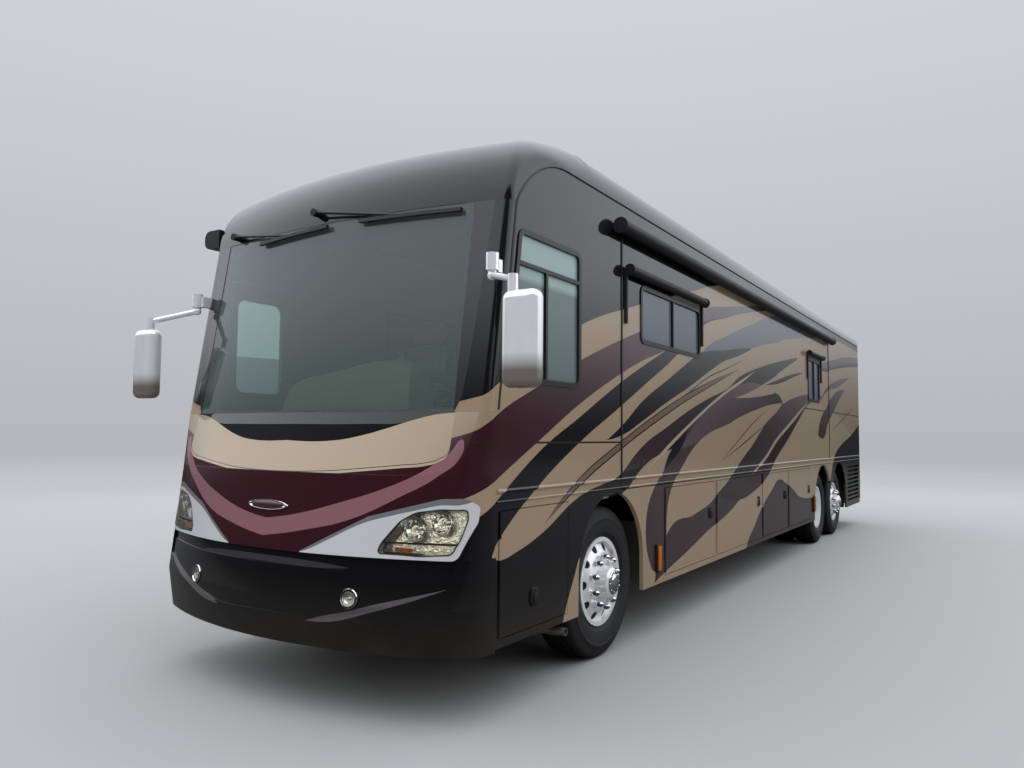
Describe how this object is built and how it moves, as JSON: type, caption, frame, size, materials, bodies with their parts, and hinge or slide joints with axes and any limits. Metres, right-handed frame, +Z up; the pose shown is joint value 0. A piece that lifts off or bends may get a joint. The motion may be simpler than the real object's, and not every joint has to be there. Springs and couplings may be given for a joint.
{
  "type": "motorhome coach",
  "caption": "Long flat-fronted motorhome coach with a full-wall slide-out room, side bay doors, entry door, twin drive wheels and a tag axle.",
  "frame": {"origin": "on the ground under the middle of the coach", "axes": "+X to the coach's left side, +Y to its tail, +Z up"},
  "size_m": [3.375, 12.677, 3.7699],
  "materials": {
    "body_paint": "gloss automotive paint in black, tan, grey, mauve and burgundy bands",
    "hood_paint": "gloss tan paint",
    "frame_black": "satin black paint",
    "engine_grey": "cast and painted block",
    "floor_board": "sealed floor board",
    "clear_glass": "laminated, slight green tint",
    "dark_glass": "privacy tint",
    "bezel_silver": "bright metallised plastic",
    "lamp_lens": "clear lens",
    "tail_lens": "red lens",
    "mirror_chrome": "plated shells and arms",
    "wiper_black": "satin black",
    "awning_cloth": "rolled weatherproof cloth with end caps",
    "unit_white": "moulded shroud",
    "dash_trim": "grained moulding",
    "seat_leather": "soft hide",
    "wheel_trim": "wrapped rim",
    "tyre_rubber": "road tyre",
    "polished_wheel": "polished forged disc"
  },
  "bodies": {
    "coach": {"axles": "frame_black", "basement": "frame_black", "cab_seats": "seat_leather", "chassis_frame": "frame_black", "coach_floor": "floor_board", "dashboard": "dash_trim", "engine": "engine_grey", "front_bumper": "body_paint", "front_cap": "body_paint", "front_lamps": "lamp_lens", "headlamp_bezels": "bezel_silver", "hitch_receiver": "frame_black", "hood": "hood_paint", "left_wall": "body_paint", "mirrors": "mirror_chrome", "nose_panel": "body_paint", "patio_awning": "awning_cloth", "rear_cap": "body_paint", "rear_lamps": "tail_lens", "right_wall": "body_paint", "roof": "body_paint", "roof_air_units": "unit_white", "skirts": "body_paint", "steering_wheel": "wheel_trim", "window_frames": "frame_black", "window_glass": "dark_glass", "windshield": "clear_glass", "windshield_pillars": "body_paint", "wipers": "wiper_black"},
    "slide_out": {"slide_room": "body_paint", "slide_box": "floor_board", "slide_window_frames": "frame_black", "slide_glass": "dark_glass", "slide_awnings": "awning_cloth"},
    "entry_door": {"entry_door": "body_paint", "entry_door_glass": "dark_glass"},
    "engine_door": {"engine_door": "body_paint"},
    "knuckle_left": {"knuckle_left": "frame_black"},
    "knuckle_right": {"knuckle_right": "frame_black"},
    "left_service_door": {"left_service_door": "body_paint"},
    "left_bay_door_1": {"left_bay_door_1": "body_paint"},
    "left_bay_door_2": {"left_bay_door_2": "body_paint"},
    "left_bay_door_3": {"left_bay_door_3": "body_paint"},
    "left_bay_door_4": {"left_bay_door_4": "body_paint"},
    "right_bay_door_1": {"right_bay_door_1": "body_paint"},
    "right_bay_door_2": {"right_bay_door_2": "body_paint"},
    "right_bay_door_3": {"right_bay_door_3": "body_paint"},
    "right_bay_door_4": {"right_bay_door_4": "body_paint"},
    "front_wheel_left": {"front_tyre_left": "tyre_rubber", "front_rim_left": "polished_wheel"},
    "front_wheel_right": {"front_tyre_right": "tyre_rubber", "front_rim_right": "polished_wheel"},
    "drive_wheel_left": {"drive_tyre_left": "tyre_rubber", "drive_rim_left": "polished_wheel"},
    "drive_wheel_right": {"drive_tyre_right": "tyre_rubber", "drive_rim_right": "polished_wheel"},
    "tag_wheel_left": {"tag_tyre_left": "tyre_rubber", "tag_rim_left": "polished_wheel"},
    "tag_wheel_right": {"tag_tyre_right": "tyre_rubber", "tag_rim_right": "polished_wheel"}
  },
  "joints": [
    {"name": "slide_out_travel", "type": "slide", "parent": "coach", "child": "slide_out", "axis": [1, 0, 0], "range_m": [0, 0.69]},
    {"name": "entry_door_hinge", "type": "hinge", "parent": "coach", "child": "entry_door", "pos_m": [-1.288, -5.6475, 1.5], "axis": [0, 0, 1], "range_deg": [0, 100]},
    {"name": "engine_door_hinge", "type": "hinge", "parent": "coach", "child": "engine_door", "pos_m": [0, 6.336, 1.732], "axis": [1, 0, 0], "range_deg": [0, 80]},
    {"name": "steering_left", "type": "hinge", "parent": "coach", "child": "knuckle_left", "pos_m": [0.86, -4.36, 0.518], "axis": [0, 0, 1], "range_deg": [-40, 40]},
    {"name": "steering_right", "type": "hinge", "parent": "coach", "child": "knuckle_right", "pos_m": [-0.86, -4.36, 0.518], "axis": [0, 0, 1], "range_deg": [-40, 40]},
    {"name": "left_service_door_hinge", "type": "hinge", "parent": "coach", "child": "left_service_door", "pos_m": [1.288, -5.7875, 0.775], "axis": [0, 0, -1], "range_deg": [0, 95]},
    {"name": "left_bay_door_1_hinge", "type": "hinge", "parent": "coach", "child": "left_bay_door_1", "pos_m": [1.288, -3.4075, 0.775], "axis": [0, 0, -1], "range_deg": [0, 95]},
    {"name": "left_bay_door_2_hinge", "type": "hinge", "parent": "coach", "child": "left_bay_door_2", "pos_m": [1.288, -2.1225, 0.775], "axis": [0, 0, -1], "range_deg": [0, 95]},
    {"name": "left_bay_door_3_hinge", "type": "hinge", "parent": "coach", "child": "left_bay_door_3", "pos_m": [1.288, -0.5225, 0.775], "axis": [0, 0, -1], "range_deg": [0, 95]},
    {"name": "left_bay_door_4_hinge", "type": "hinge", "parent": "coach", "child": "left_bay_door_4", "pos_m": [1.288, 0.6675, 0.775], "axis": [0, 0, -1], "range_deg": [0, 95]},
    {"name": "right_bay_door_1_hinge", "type": "hinge", "parent": "coach", "child": "right_bay_door_1", "pos_m": [-1.288, -3.4075, 0.775], "axis": [0, 0, 1], "range_deg": [0, 95]},
    {"name": "right_bay_door_2_hinge", "type": "hinge", "parent": "coach", "child": "right_bay_door_2", "pos_m": [-1.288, -2.1225, 0.775], "axis": [0, 0, 1], "range_deg": [0, 95]},
    {"name": "right_bay_door_3_hinge", "type": "hinge", "parent": "coach", "child": "right_bay_door_3", "pos_m": [-1.288, -0.5225, 0.775], "axis": [0, 0, 1], "range_deg": [0, 95]},
    {"name": "right_bay_door_4_hinge", "type": "hinge", "parent": "coach", "child": "right_bay_door_4", "pos_m": [-1.288, 0.6675, 0.775], "axis": [0, 0, 1], "range_deg": [0, 95]},
    {"name": "front_wheel_left_spin", "type": "hinge", "parent": "knuckle_left", "child": "front_wheel_left", "pos_m": [1.063, -4.36, 0.518], "axis": [1, 0, 0], "continuous": true},
    {"name": "front_wheel_right_spin", "type": "hinge", "parent": "knuckle_right", "child": "front_wheel_right", "pos_m": [-1.063, -4.36, 0.518], "axis": [1, 0, 0], "continuous": true},
    {"name": "drive_wheel_left_spin", "type": "hinge", "parent": "coach", "child": "drive_wheel_left", "pos_m": [1.063, 2.8, 0.518], "axis": [1, 0, 0], "continuous": true},
    {"name": "drive_wheel_right_spin", "type": "hinge", "parent": "coach", "child": "drive_wheel_right", "pos_m": [-1.063, 2.8, 0.518], "axis": [1, 0, 0], "continuous": true},
    {"name": "tag_wheel_left_spin", "type": "hinge", "parent": "coach", "child": "tag_wheel_left", "pos_m": [1.063, 4.05, 0.518], "axis": [1, 0, 0], "continuous": true},
    {"name": "tag_wheel_right_spin", "type": "hinge", "parent": "coach", "child": "tag_wheel_right", "pos_m": [-1.063, 4.05, 0.518], "axis": [1, 0, 0], "continuous": true}
  ],
  "couplings": [
    {"joint": "steering_right", "follows": "steering_left", "ratio": 1}
  ]
}
